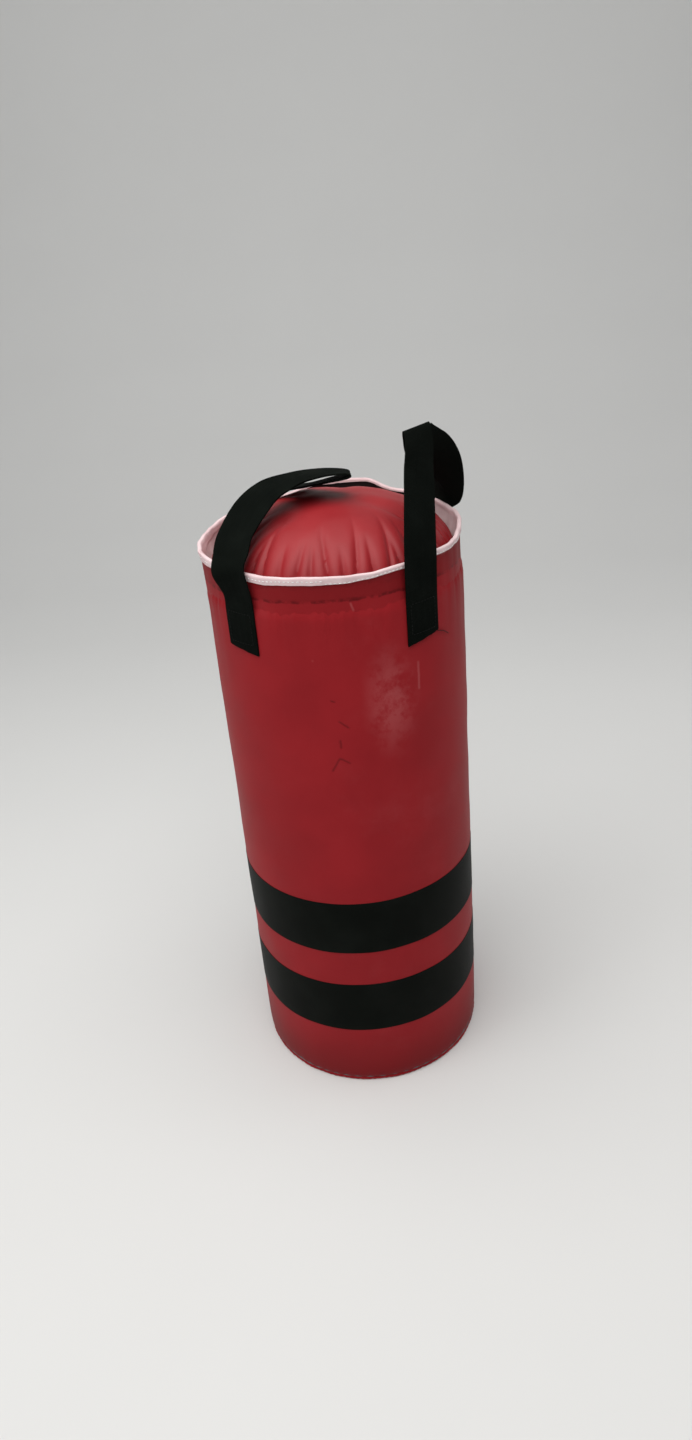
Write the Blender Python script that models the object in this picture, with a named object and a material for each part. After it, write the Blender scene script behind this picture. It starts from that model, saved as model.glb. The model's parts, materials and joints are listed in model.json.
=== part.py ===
"""A junior hanging punch bag, standing on its base with its two webbing loops unhooked.

Metres, +Z up. The origin is the centre of the underside, the front faces -Y.
The skin is a wrapped vinyl panel with a collar above the cap seam; a domed cap
closes the stuffed body inside that collar. Each webbing strap is sewn to the
skin at its two ends and makes one carrying loop, which swings where it leaves
the rim.
"""

import math

import bmesh
import bpy
from mathutils import Matrix, Vector

for leftover in list(bpy.data.objects):
    bpy.data.objects.remove(leftover, do_unlink=True)

# Skin
BAG_RADIUS = 0.130
VINYL = 0.0012
SEAM_HEIGHT = 0.591
COLLAR_HEIGHT = 0.030
COLLAR_RISE = 0.0104
PINCH_DEPTH = 0.0045
PINCH_REACH = 0.019
RIM_INSET = 0.0022
LAP_WIDTH = 0.020
CAP_RISE = 0.0650
CAP_SKIRT = 0.012

# Base
BASE_PANEL_THICKNESS = 0.0015
WELT_RADIUS = 0.0022
WELT_INSET = 0.0012

# Printed bands, heights of their lower edges
BAND_THICKNESS = 0.0004
BAND_WIDTH = 0.0658
LOWER_BAND_HEIGHT = 0.0800
UPPER_BAND_HEIGHT = 0.1905

# Collar lining and binding tape
FACING = 0.0008
BINDING = 0.0008
BINDING_DROP = 0.0075

# Webbing
WEBBING_WIDTH = 0.038
WEBBING = 0.0016
FRONT_AZIMUTH = math.radians(40.6)
RIGHT_REAR_AZIMUTH = math.radians(119)
LEFT_REAR_AZIMUTH = math.radians(141)
TAIL_LENGTH = 0.080
HINGE_ABOVE_RIM = 0.0026
HINGE_REACH = 0.58 * WEBBING_WIDTH
HINGE_GAP = 0.0004

# Threads and backing patches
THREAD = 0.0008
BOX_STITCH_INSET = 0.0045
BOX_STITCH_HEIGHT = 0.030
PATCH_MARGIN = 0.005
PATCH = 0.0012

# Filling
SIDE_FOAM = 0.008
BASE_FOAM = 0.012

GAP = 0.0003
TURNS = 60

RIM_HEIGHT = SEAM_HEIGHT + COLLAR_HEIGHT
HINGE_HEIGHT = RIM_HEIGHT + HINGE_ABOVE_RIM
CREST_HEIGHT = SEAM_HEIGHT + CAP_RISE
TAIL_HEIGHT = RIM_HEIGHT - TAIL_LENGTH
SKIN_INSIDE = BAG_RADIUS - VINYL
PINCH_INSIDE = SKIN_INSIDE - PINCH_DEPTH
CAP_RADIUS = PINCH_INSIDE - FACING - 2 * GAP
WEBBING_SEAT = BAG_RADIUS + GAP
STRAP_RADIUS = WEBBING_SEAT + WEBBING / 2
STITCH_SEAT = WEBBING_SEAT + WEBBING + GAP
PATCH_HEIGHT = TAIL_HEIGHT - PATCH_MARGIN
PATCH_TOP = SEAM_HEIGHT - PINCH_REACH - GAP
FACET = BAG_RADIUS * (1 - math.cos(math.pi / TURNS))
PATCH_SEAT = SKIN_INSIDE - PATCH - GAP - FACET
CORE_TOP = PATCH_HEIGHT - GAP
BASE_TOP = 2 * WELT_RADIUS + GAP

# Each strap's route from where it leaves the rim at the front to its rear tail: how far to its own
# side and to the rear as shares of the bag radius, the height over the hinge line as a share of
# the crest's, and the heading and tilt of the webbing's width in degrees.
UPRIGHT_ROUTE = (
    (0.656, -0.766, 0.00, 40.6, 0),
    (0.663, -0.700, 0.72, 45, 0),
    (0.673, -0.590, 1.42, 49, 0),
    (0.684, -0.460, 2.12, 50, -2),
    (0.694, -0.395, 2.62, 50, -2),
    (0.692, -0.360, 2.90, 50, 1),
    (0.684, -0.335, 3.06, 50, 2),
    (0.678, -0.308, 3.06, 50, 3),
    (0.680, -0.278, 2.92, 49, 8),
    (0.700, -0.210, 2.60, 44, 18),
    (0.738, -0.112, 2.38, 37, 21),
    (0.786, -0.005, 2.18, 22, 18),
    (0.834, 0.092, 1.90, 6, 13),
    (0.874, 0.185, 1.55, -10, 7),
    (0.902, 0.275, 1.12, -25, 3),
    (0.920, 0.345, 0.70, -38, 0),
    (0.922, 0.405, 0.34, -50, 0),
)
FLOPPED_ROUTE = (
    (0.695, -0.774, 0.00, 30, -10),
    (0.672, -0.690, 0.38, 26, -4),
    (0.640, -0.575, 0.76, 26, 0),
    (0.530, -0.410, 1.27, 36, 11),
    (0.400, -0.285, 1.60, 62, 14),
    (0.220, -0.180, 1.74, 86, 6),
    (0.030, -0.135, 1.79, 86, -1),
    (-0.120, -0.125, 1.77, 86, -5),
    (-0.185, -0.123, 1.70, 86, -6),
    (-0.150, -0.120, 1.61, 88, -6),
    (0.030, -0.060, 1.44, 104, -5),
    (0.240, 0.160, 1.06, 126, -3),
    (0.440, 0.480, 0.62, 136, 0),
    (0.600, 0.690, 0.24, 140, 0),
)
UPRIGHT_END_HEADING = -61
FLOPPED_END_HEADING = 141
ROUTE_STEPS = 3
# The webbing's width is square to its run where that is straight, and keeps its stated direction
# where it folds: both as chord over length, for that reach to each side.
STRAIGHT = 0.95
FOLDED = 0.70
FOLD_REACH = 0.024
TAIL_ROWS = 6


def material(name, colour, roughness, metallic=0.0):
    """A plain surface for one piece."""
    made = bpy.data.materials.new(name)
    made.use_nodes = True
    shader = made.node_tree.nodes["Principled BSDF"]
    shader.inputs["Base Color"].default_value = (*colour, 1)
    shader.inputs["Roughness"].default_value = roughness
    shader.inputs["Metallic"].default_value = metallic
    return made


RED = material("red_vinyl", (0.26, 0.020, 0.021), 0.38)
BLACK_PRINT = material("black_band", (0.006, 0.009, 0.008), 0.45)
WHITE_TAPE = material("white_tape", (0.70, 0.69, 0.68), 0.80)
LINING = material("white_lining", (0.62, 0.55, 0.55), 0.70)
WEB_BLACK = material("black_webbing", (0.008, 0.009, 0.009), 0.85)
THREAD_BLACK = material("black_thread", (0.010, 0.010, 0.010), 0.75)
THREAD_RED = material("red_thread", (0.20, 0.012, 0.014), 0.70)
FOAM = material("grey_foam", (0.20, 0.20, 0.21), 0.95)
FIBRE = material("fibre_fill", (0.45, 0.43, 0.40), 1.00)


def place(bm, name, surface, parent=None):
    """Makes the mesh one object with its faces outwards, and returns it."""
    bmesh.ops.recalc_face_normals(bm, faces=bm.faces[:])
    if bm.calc_volume(signed=True) < 0:
        bmesh.ops.reverse_faces(bm, faces=bm.faces[:])
    mesh = bpy.data.meshes.new(name)
    bm.to_mesh(mesh)
    bm.free()
    mesh.materials.append(surface)
    mesh.shade_smooth()
    mesh.set_sharp_from_angle(angle=math.radians(35))
    made = bpy.data.objects.new(name, mesh)
    bpy.context.scene.collection.objects.link(made)
    if parent:
        made.parent = parent
        made.matrix_parent_inverse = Matrix.Translation(-parent.location)
    return made


def turned(outline, closed=True):
    """A bmesh of the outline, given as (radius, height) points, turned about the bag's axis."""
    bm = bmesh.new()
    corners = [bm.verts.new((radius, 0, height)) for radius, height in outline]
    pairs = zip(corners, corners[1:] + corners[:1]) if closed else zip(corners, corners[1:])
    edges = [bm.edges.new(pair) for pair in pairs]
    bmesh.ops.spin(bm, geom=corners + edges, axis=(0, 0, 1), cent=(0, 0, 0),
                   angle=2 * math.pi, steps=TURNS, use_merge=True)
    bmesh.ops.remove_doubles(bm, verts=bm.verts[:], dist=1e-5)
    return bm


def raise_collar(bm):
    """Lifts the collar towards the rear, from nothing at the seam to the full rise at the rim."""
    for vert in bm.verts:
        share = max(0.0, (vert.co.z - SEAM_HEIGHT) / COLLAR_HEIGHT)
        vert.co.z += share * COLLAR_RISE * vert.co.y / BAG_RADIUS


def lift_over_lap(bm):
    """Raises what lies on the outside of the skin where the rear edge is lapped over."""
    half_turn = LAP_WIDTH / BAG_RADIUS / 2
    for vert in bm.verts:
        reach = Vector((vert.co.x, vert.co.y, 0))
        on_outside = reach.length > BAG_RADIUS - skin_inset(vert.co.z) - VINYL / 2
        if on_outside and abs(math.atan2(vert.co.x, vert.co.y)) < half_turn:
            vert.co += reach.normalized() * VINYL


def skin_inset(height):
    """How far the skin lies inside the bag radius, at a height on the pinch or the collar."""
    if height < SEAM_HEIGHT:
        nearness = max(0.0, 1 - (SEAM_HEIGHT - height) / PINCH_REACH)
        return PINCH_DEPTH * (1 - math.cos(math.pi * nearness)) / 2
    share = (height - SEAM_HEIGHT) / COLLAR_HEIGHT
    return PINCH_DEPTH + (RIM_INSET - PINCH_DEPTH) * math.sin(math.pi * min(share, 1) / 2)


def skin_heights(low, high, steps):
    return [low + (high - low) * step / steps for step in range(steps + 1)]


def skin_outline(offset, thickness, low, high):
    """A closed outline that follows the skin, its outer face that far inside the skin's own."""
    waist = SEAM_HEIGHT - PINCH_REACH
    heights = skin_heights(max(low, waist), SEAM_HEIGHT, 5) if low < SEAM_HEIGHT else [low]
    if low < waist:
        heights = [low] + heights
    heights += skin_heights(max(low, SEAM_HEIGHT), high, 4)[1:]
    outer = [(BAG_RADIUS - skin_inset(z) - offset, z) for z in heights]
    return outer + [(radius - thickness, z) for radius, z in reversed(outer)]


def skin_panel():
    """The wrapped panel: its rear edge is lapped over, and its top stands up as the collar."""
    low = BASE_TOP
    high = RIM_HEIGHT - BINDING - GAP
    bm = turned(skin_outline(0, VINYL, low, high))
    lift_over_lap(bm)
    raise_collar(bm)
    return place(bm, "skin_panel", RED)


def base():
    """The round panel the bag stands on, and the welt that closes its edge."""
    edge = BAG_RADIUS - WELT_INSET - 2 * WELT_RADIUS - GAP
    bm = turned([(0, 0), (edge, 0), (edge, BASE_PANEL_THICKNESS), (0, BASE_PANEL_THICKNESS)], False)
    place(bm, "base_panel", RED)
    centre = BAG_RADIUS - WELT_INSET - WELT_RADIUS
    turns = [math.radians(60 * step + 30) for step in range(6)]
    bm = turned([(centre + WELT_RADIUS * math.cos(turn), WELT_RADIUS * (1 + math.sin(turn)))
                 for turn in turns])
    place(bm, "base_welt", RED)


def bands():
    """Two black bands of thin film, bonded round the skin; they stop at the lap's edges."""
    for name, low in (("lower_band", LOWER_BAND_HEIGHT), ("upper_band", UPPER_BAND_HEIGHT)):
        inner = BAG_RADIUS + GAP
        outer = inner + BAND_THICKNESS
        bm = turned([(outer, low), (outer, low + BAND_WIDTH), (inner, low + BAND_WIDTH), (inner, low)])
        lift_over_lap(bm)
        place(bm, name, BLACK_PRINT)


def cap_height(radius, depth):
    """The height of the domed cap's outer face, or of a face that deep below it."""
    reach = CAP_RADIUS - depth
    share = min(1.0, radius / reach)
    return SEAM_HEIGHT + (CAP_RISE - depth) * math.sqrt(1 - share * share)


def dome_points(depth, steps=8):
    """(radius, height) from the cap's edge to its crest, that deep below its outer face."""
    reach = CAP_RADIUS - depth
    radii = [reach * math.cos(math.pi / 2 * step / steps) for step in range(steps)]
    return [(radius, cap_height(radius, depth)) for radius in radii] + [(0, cap_height(0, depth))]


def cap():
    """The gathered cap, its skirt sewn inside the skin, and the foam plug that fills it."""
    outer = [(CAP_RADIUS, SEAM_HEIGHT - CAP_SKIRT)] + dome_points(0)
    inner = [(CAP_RADIUS - VINYL, SEAM_HEIGHT - CAP_SKIRT)] + dome_points(VINYL)
    place(turned(inner[::-1] + outer, False), "top_cap", RED)
    depth = VINYL + GAP
    plug = [(0, CORE_TOP + GAP), (CAP_RADIUS - depth, CORE_TOP + GAP)] + dome_points(depth)
    place(turned(plug, False), "top_foam", FOAM)


def collar_trim():
    """The lining sewn inside the collar, and the tape folded over both raw edges."""
    top = RIM_HEIGHT - BINDING - GAP
    bm = turned(skin_outline(VINYL + GAP, FACING, SEAM_HEIGHT + GAP, top))
    raise_collar(bm)
    place(bm, "collar_lining", LINING)
    low = RIM_HEIGHT - BINDING_DROP
    inset = skin_inset(low)
    rim = skin_inset(RIM_HEIGHT)
    outside = BAG_RADIUS + GAP + BINDING
    inside = BAG_RADIUS - VINYL - FACING - 2 * GAP - BINDING
    outline = [
        (outside - inset, low),
        (outside - rim, top),
        (outside - rim - BINDING / 2, RIM_HEIGHT),
        (inside - rim + BINDING / 2, RIM_HEIGHT),
        (inside - rim, top),
        (inside - inset, low),
        (inside - inset + BINDING, low),
        (inside - rim + BINDING, top + GAP / 2),
        (outside - rim - BINDING, top + GAP / 2),
        (outside - inset - BINDING, low),
    ]
    bm = turned(outline)
    lift_over_lap(bm)
    raise_collar(bm)
    place(bm, "rim_binding", WHITE_TAPE)


def ring_of_thread(name, radius, height, surface, collar=False):
    """One line of stitching round the bag, its inner side seated on the given radius."""
    outline = [
        (radius, height - THREAD / 2),
        (radius + THREAD * 0.6, height - THREAD / 2),
        (radius + THREAD * 0.6, height + THREAD / 2),
        (radius, height + THREAD / 2),
    ]
    bm = turned(outline)
    lift_over_lap(bm)
    if collar:
        raise_collar(bm)
    return place(bm, name, surface)


def wrapped_plate(width, height, thickness, seat, azimuth, low, cells=4, hollow=0.0):
    """A plate laid on a cylinder of radius seat; hollow leaves only a frame of that width."""
    bm = bmesh.new()
    bmesh.ops.create_grid(bm, x_segments=cells, y_segments=2, size=0.5)
    for vert in bm.verts:
        vert.co = Vector((vert.co.x * width, 0, low + (vert.co.y + 0.5) * height))
    if hollow:
        bm.normal_update()
        bmesh.ops.inset_region(bm, faces=bm.faces[:], thickness=hollow, use_boundary=True)
        middle = Vector((0, 0, low + height / 2))
        inner = [
            face for face in bm.faces
            if abs(face.calc_center_median().x) < width / 2 - hollow
            and abs(face.calc_center_median().z - middle.z) < height / 2 - hollow
        ]
        bmesh.ops.delete(bm, geom=inner, context="FACES")
    moved = bmesh.ops.extrude_face_region(bm, geom=bm.faces[:])["geom"]
    outside = [part for part in moved if isinstance(part, bmesh.types.BMVert)]
    bmesh.ops.translate(bm, verts=outside, vec=(0, thickness, 0))
    for vert in bm.verts:
        turn = azimuth + vert.co.x / (seat + thickness / 2)
        radius = seat + vert.co.y
        vert.co = Vector((radius * math.sin(turn), -radius * math.cos(turn), vert.co.z))
    return bm


def fill():
    """Foam round the inside of the skin and on its base, and the packed fibre core."""
    low = BASE_TOP
    skin = BAG_RADIUS - VINYL - GAP
    foam_top = CORE_TOP
    bm = turned([(skin, low), (skin, foam_top), (skin - SIDE_FOAM, foam_top), (skin - SIDE_FOAM, low)])
    place(bm, "side_foam", FOAM)
    core = skin - SIDE_FOAM - GAP
    place(turned([(0, low), (core, low), (core, low + BASE_FOAM), (0, low + BASE_FOAM)], False),
          "base_foam", FOAM)
    start = low + BASE_FOAM + GAP
    place(turned([(0, start), (core, start), (core, foam_top), (0, foam_top)], False),
          "fibre_core", FIBRE)


def hinge_line(y):
    """The height of the line that a loop swings about, which follows the rim's slope."""
    return HINGE_HEIGHT + COLLAR_RISE * y / BAG_RADIUS


def curve_through(points, steps):
    """A smooth run of Vectors through the points, each a Vector of any length."""
    ends = [2 * points[0] - points[1]] + points + [2 * points[-1] - points[-2]]
    run = []
    for a, b, c, d in zip(ends, ends[1:], ends[2:], ends[3:]):
        for step in range(steps):
            t = step / steps
            run.append((2 * b + (c - a) * t + (2 * a - 5 * b + 4 * c - d) * t ** 2
                        + (3 * b - a - 3 * c + d) * t ** 3) / 2)
    return run + [points[-1]]


def strap_stations(side, rear_azimuth, route, end_heading):
    """(place, width direction, hug) down the middle of one strap; hug is 1 where it lies on the skin."""
    def tail(azimuth, heading):
        x, y = STRAP_RADIUS * math.sin(azimuth), -STRAP_RADIUS * math.cos(azimuth)
        heights = ((TAIL_HEIGHT, 1), (SEAM_HEIGHT - PINCH_REACH, 1), (SEAM_HEIGHT, 0.6),
                   (hinge_line(y), 0))
        return [((x, y, height), heading, 0, hug) for height, hug in heights]

    rows = tail(FRONT_AZIMUTH, math.degrees(FRONT_AZIMUTH))[:-1]
    for x, y, share, heading, tilt in route:
        height = hinge_line(y * BAG_RADIUS) + share * (CREST_HEIGHT - HINGE_HEIGHT)
        rows.append(((x * BAG_RADIUS, y * BAG_RADIUS, height), heading, tilt, 0))
    rows += tail(rear_azimuth, end_heading)[::-1]
    packed = []
    for spot, heading, tilt, hug in rows:
        turn, dip = math.radians(heading), math.radians(tilt)
        width = (math.cos(turn) * math.cos(dip), math.sin(turn) * math.cos(dip), math.sin(dip))
        packed.append(Vector((*spot, *width, hug)))
    run = curve_through(packed, ROUTE_STEPS)
    walked = [0.0]
    for before, after in zip(run, run[1:]):
        walked.append(walked[-1] + (Vector(after[:3]) - Vector(before[:3])).length)
    stations = []
    for number, here in enumerate(run):
        near = [row for row, length in zip(run, walked) if abs(length - walked[number]) <= FOLD_REACH]
        spans = [length for length in walked if abs(length - walked[number]) <= FOLD_REACH]
        straightness = (Vector(near[-1][:3]) - Vector(near[0][:3])).length / (spans[-1] - spans[0])
        square_share = min(1.0, max(0.0, (straightness - FOLDED) / (STRAIGHT - FOLDED)))
        before, after = run[max(0, number - 1)], run[min(len(run) - 1, number + 1)]
        onward = (Vector(after[:3]) - Vector(before[:3])).normalized()
        width = Vector(here[3:6]).normalized()
        square = (width - width.dot(onward) * onward).normalized()
        width = width.lerp(square, square_share).normalized()
        spot = Vector(here[:3])
        if side < 0:
            spot.x, width.x = -spot.x, -width.x
        stations.append((spot, width, min(1.0, max(0.0, here[6]))))
    return stations


def hinge_ends(side, rear_azimuth):
    """Where the line that a loop swings about meets its front leg and its rear one."""
    ends = []
    for azimuth in (FRONT_AZIMUTH, rear_azimuth):
        y = -STRAP_RADIUS * math.cos(azimuth)
        ends.append(Vector((side * STRAP_RADIUS * math.sin(azimuth), y, hinge_line(y))))
    return ends


def webbing(name, stations, surface, parent=None):
    """The strap's middle surface through the stations, thickened on both sides."""
    bm = bmesh.new()
    bmesh.ops.create_grid(bm, x_segments=4, y_segments=len(stations) - 1, size=0.5)
    for vert in bm.verts:
        spot, width, hug = stations[round((vert.co.y + 0.5) * (len(stations) - 1))]
        aside = vert.co.x * WEBBING_WIDTH
        sag = hug * aside ** 2 / (2 * STRAP_RADIUS)
        vert.co = spot + aside * width - sag * Vector((spot.x, spot.y, 0)).normalized()
    made = place(bm, name, surface, parent)
    thick = made.modifiers.new("thickness", "SOLIDIFY")
    thick.thickness = WEBBING
    thick.offset = 0
    return made


def keyhole(name, ends, reach):
    """The cutter that parts a loop from its tails: a round of that reach about the hinge line,
    on everything below it."""
    spread = BAG_RADIUS
    depth = TAIL_LENGTH * 2
    arc = [(reach * math.cos(math.pi * step / 24), reach * math.sin(math.pi * step / 24))
           for step in range(25)]
    outline = [(-spread, -depth), (spread, -depth), (spread, 0)] + arc + [(-spread, 0)]
    bm = bmesh.new()
    face = bm.faces.new([bm.verts.new((x, -2 * BAG_RADIUS, z)) for x, z in outline])
    moved = bmesh.ops.extrude_face_region(bm, geom=[face])["geom"]
    far = [part for part in moved if isinstance(part, bmesh.types.BMVert)]
    bmesh.ops.translate(bm, verts=far, vec=(0, 4 * BAG_RADIUS, 0))
    onward = (ends[1] - ends[0]).normalized()
    aside = onward.cross(Vector((0, 0, 1))).normalized()
    turn = Matrix((aside, onward, aside.cross(onward))).transposed().to_4x4()
    bmesh.ops.transform(bm, matrix=Matrix.Translation((ends[0] + ends[1]) / 2) @ turn, verts=bm.verts[:])
    made = place(bm, name, WEB_BLACK)
    made.hide_render = True
    made.display_type = "WIRE"
    return made


def cut(piece, cutter, operation):
    change = piece.modifiers.new(operation.lower(), "BOOLEAN")
    change.operation = operation
    change.object = cutter


def straps():
    """Two straps, each cut where its loop swings from its two sewn tails."""
    for side, word, rear, route, end in (
        (1, "right", RIGHT_REAR_AZIMUTH, UPRIGHT_ROUTE, UPRIGHT_END_HEADING),
        (-1, "left", LEFT_REAR_AZIMUTH, FLOPPED_ROUTE, FLOPPED_END_HEADING),
    ):
        ends = hinge_ends(side, rear)
        stations = strap_stations(side, rear, route, end)
        fixed_part = keyhole(f"{word}_tail_cutter", ends, HINGE_REACH)
        swept_part = keyhole(f"{word}_loop_cutter", ends, HINGE_REACH + HINGE_GAP)
        axis = bpy.data.objects.new(f"{word}_hinge", None)
        axis.location = (ends[0] + ends[1]) / 2
        bpy.context.scene.collection.objects.link(axis)
        cut(webbing(f"{word}_loop", stations, WEB_BLACK, axis), swept_part, "DIFFERENCE")
        reach = TAIL_ROWS * ROUTE_STEPS
        for end_word, run in (("front", stations[:reach]), ("rear", stations[-reach:])):
            cut(webbing(f"{word}_{end_word}_tail", run, WEB_BLACK), fixed_part, "INTERSECT")


def tail_fixings():
    """The stitched frame on each tail, and the patch behind the skin that it is sewn through to."""
    for name, turn in (
        ("right_front", FRONT_AZIMUTH),
        ("right_rear", RIGHT_REAR_AZIMUTH),
        ("left_front", -FRONT_AZIMUTH),
        ("left_rear", -LEFT_REAR_AZIMUTH),
    ):
        width = WEBBING_WIDTH - 2 * BOX_STITCH_INSET
        low = TAIL_HEIGHT + BOX_STITCH_INSET
        bm = wrapped_plate(width, BOX_STITCH_HEIGHT, THREAD * 0.6, STITCH_SEAT, turn, low, hollow=THREAD)
        place(bm, f"{name}_stitching", THREAD_BLACK)
        width = WEBBING_WIDTH + 2 * PATCH_MARGIN
        bm = wrapped_plate(width, PATCH_TOP - PATCH_HEIGHT, PATCH, PATCH_SEAT, turn, PATCH_HEIGHT)
        place(bm, f"{name}_patch", LINING)


skin_panel()
base()
bands()
cap()
collar_trim()
fill()
straps()
tail_fixings()
ring_of_thread("cap_seam_thread", BAG_RADIUS - PINCH_DEPTH + GAP, SEAM_HEIGHT, THREAD_RED)
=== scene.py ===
import json
import math
import random

import bmesh
import bpy
from mathutils import Matrix, Vector, noise


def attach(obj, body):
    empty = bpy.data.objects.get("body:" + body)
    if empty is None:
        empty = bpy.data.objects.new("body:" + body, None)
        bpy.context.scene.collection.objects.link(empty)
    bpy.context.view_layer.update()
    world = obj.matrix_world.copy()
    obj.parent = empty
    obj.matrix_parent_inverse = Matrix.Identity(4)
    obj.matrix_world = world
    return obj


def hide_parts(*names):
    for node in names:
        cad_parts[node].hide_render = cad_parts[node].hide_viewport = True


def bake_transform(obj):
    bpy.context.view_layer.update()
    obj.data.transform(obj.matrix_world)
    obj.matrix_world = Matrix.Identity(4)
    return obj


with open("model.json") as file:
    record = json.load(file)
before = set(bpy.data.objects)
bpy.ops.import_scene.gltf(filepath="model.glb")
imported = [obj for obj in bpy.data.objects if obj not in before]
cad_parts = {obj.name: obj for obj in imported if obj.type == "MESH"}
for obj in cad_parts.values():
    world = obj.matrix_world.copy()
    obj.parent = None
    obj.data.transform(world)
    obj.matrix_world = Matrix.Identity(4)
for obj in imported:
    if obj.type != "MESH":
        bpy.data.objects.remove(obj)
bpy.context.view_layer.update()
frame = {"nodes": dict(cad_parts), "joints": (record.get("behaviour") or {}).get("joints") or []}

# The filling: open-cell foam round a core of packed textile offcuts, all shut inside the skin.
# It carries the finish classes that every later section uses: a socket that can be calculated
# with, and a plain way to begin a finish.
FOAM_GREY = (0.20, 0.20, 0.21)
FOAM_SHADE = (0.13, 0.13, 0.14)
FIBRE_PALE = (0.45, 0.43, 0.40)
FIBRE_DARK = (0.16, 0.17, 0.21)


class Signal:
    """A socket of a finish. Arithmetic adds Math nodes, and add() adds a node of any other kind."""

    def __init__(self, socket):
        self.socket = socket

    def add(self, kind, settings=None, inputs=None, out=0):
        tree = self.socket.id_data
        node = tree.nodes.new("ShaderNode" + kind)
        for name, value in (settings or {}).items():
            if name == "stops":
                ramp = node.color_ramp
                while len(ramp.elements) < len(value):
                    ramp.elements.new(0.5)
                for element, (place, colour) in zip(ramp.elements, value):
                    element.position = place
                    element.color = (*colour, 1)
            else:
                setattr(node, name, value)
        for name, value in (inputs or {}).items():
            if isinstance(value, Signal):
                tree.links.new(value.socket, node.inputs[name])
            else:
                node.inputs[name].default_value = value
        return Signal(node.outputs[out])

    def math(self, operation, *others):
        return self.add("Math", {"operation": operation}, dict(enumerate((self, *others))))

    def __add__(self, other):
        return self.math("ADD", other)

    def __sub__(self, other):
        return self.math("SUBTRACT", other)

    def __rsub__(self, other):
        return self.add("Math", {"operation": "SUBTRACT"}, {0: other, 1: self})

    def __mul__(self, other):
        return self.math("MULTIPLY", other)

    def __truediv__(self, other):
        return self.math("DIVIDE", other)

    __radd__ = __add__
    __rmul__ = __mul__

    def ramp(self, low, high, to_low=0.0, to_high=1.0):
        """Runs smoothly from to_low to to_high while the value runs from low to high."""
        return self.add("MapRange", {"interpolation_type": "SMOOTHSTEP"},
                        {"Value": self, "From Min": low, "From Max": high,
                         "To Min": to_low, "To Max": to_high})

    def mix(self, first, second):
        """first where the value is 0 and second where it is 1; both are colours."""
        def colour(given):
            return given if isinstance(given, Signal) else (*given, 1)
        return self.add("Mix", {"data_type": "RGBA", "clamp_factor": True},
                        {0: self, 6: colour(first), 7: colour(second)}, out=2)

    def noise(self, scale, detail=3.0, roughness=0.5, distortion=0.0):
        return self.add("TexNoise", {}, {"Vector": self, "Scale": scale, "Detail": detail,
                                         "Roughness": roughness, "Distortion": distortion})

    def scaled(self, x, y, z):
        return self.add("Mapping", {"vector_type": "POINT"},
                        {"Vector": self, "Scale": (x, y, z)})


class Finish:
    """One material: its place on the piece as a Signal, and setters for the shader's sockets."""

    def __init__(self, name, roughness, coordinates="Object", gloss=0.15):
        self.material = bpy.data.materials.new(name)
        self.material.use_nodes = True
        nodes = self.material.node_tree.nodes
        self.shader = nodes["Principled BSDF"]
        self.shader.inputs["Roughness"].default_value = roughness
        self.shader.inputs["Specular IOR Level"].default_value = gloss
        self.place = Signal(nodes.new("ShaderNodeTexCoord").outputs[coordinates])

    def set(self, **sockets):
        for name, value in sockets.items():
            target = self.shader.inputs[name.replace("_", " ")]
            if isinstance(value, Signal):
                self.material.node_tree.links.new(value.socket, target)
            else:
                target.default_value = (*value, 1) if isinstance(value, tuple) else value

    def bump(self, height, depth):
        """Raises the surface by the height, whose 1 stands for that depth in metres."""
        normal = height.add("Bump", {}, {"Strength": 1.0, "Distance": depth, "Height": height})
        self.set(Normal=normal)


foam = Finish("foam", 0.95)
pores = foam.place.add("TexVoronoi", {}, {"Vector": foam.place, "Scale": 600.0})
foam.set(Base_Color=pores.ramp(0.1, 0.6).mix(FOAM_GREY, FOAM_SHADE))
foam.bump(pores, 0.0006)
fibre = Finish("fibre", 1.0)
scraps = fibre.place.noise(90.0, detail=5.0, distortion=1.5)
fibre.set(Base_Color=scraps.ramp(0.35, 0.65).mix(FIBRE_DARK, FIBRE_PALE))
fibre.bump(scraps, 0.002)
for name in ("side_foam", "base_foam"):
    frame["nodes"][name].material_slots[0].material = foam.material
frame["nodes"]["fibre_core"].material_slots[0].material = fibre.material

# The skin: one panel of red vinyl-coated cloth, wrapped round the filling and lapped at the
# rear. It is drawn in and puckered by the stitching at the cap's seam, stands up above it as a
# collar, and is gathered a little where it turns under at the base.
RADIUS = 0.130
VINYL = 0.0012
SEAM = 0.591
COLLAR = 0.030
RIM = SEAM + COLLAR
PINCH_DEPTH = 0.0045
PINCH_REACH = 0.019
RIM_INSET = 0.0022
LAP_WIDTH = 0.020
FRONT_RIM_DROP = 0.0074
REAR_RIM_RISE = 0.0110
WELT_TOP = 0.0047
FACETS = 288
FRONT_TURN = math.radians(40.6)
RIGHT_REAR_TURN = math.radians(119)
LEFT_REAR_TURN = math.radians(141)
STRAP_TURNS = (FRONT_TURN, RIGHT_REAR_TURN, -FRONT_TURN, -LEFT_REAR_TURN)
STRAP_REACH = math.radians(13)
SEAM_GATHERS = 92
SEAM_PUCKER = 0.0042
SEAM_GROOVE = 0.0026
BODY_GATHERS = 37
BODY_FULLNESS = 0.0018
BASE_GATHERS = 61
BASE_PUCKER = 0.0010
BASE_TUCK = 0.0022
COLLAR_FLARE = 0.0014
EAR_TURN = math.radians(-78)
EAR_FLARE = 0.0030
CREST_TURN = math.radians(176)
CREST_RISE = 0.0078


def compass(turn, stretch, layer):
    """A point that comes back to itself once round the bag, to read noise at."""
    return Vector((math.sin(turn) * stretch, math.cos(turn) * stretch, layer))


def smooth(value, low, high):
    share = min(1.0, max(0.0, (value - low) / (high - low)))
    return share * share * (3 - 2 * share)


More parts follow.
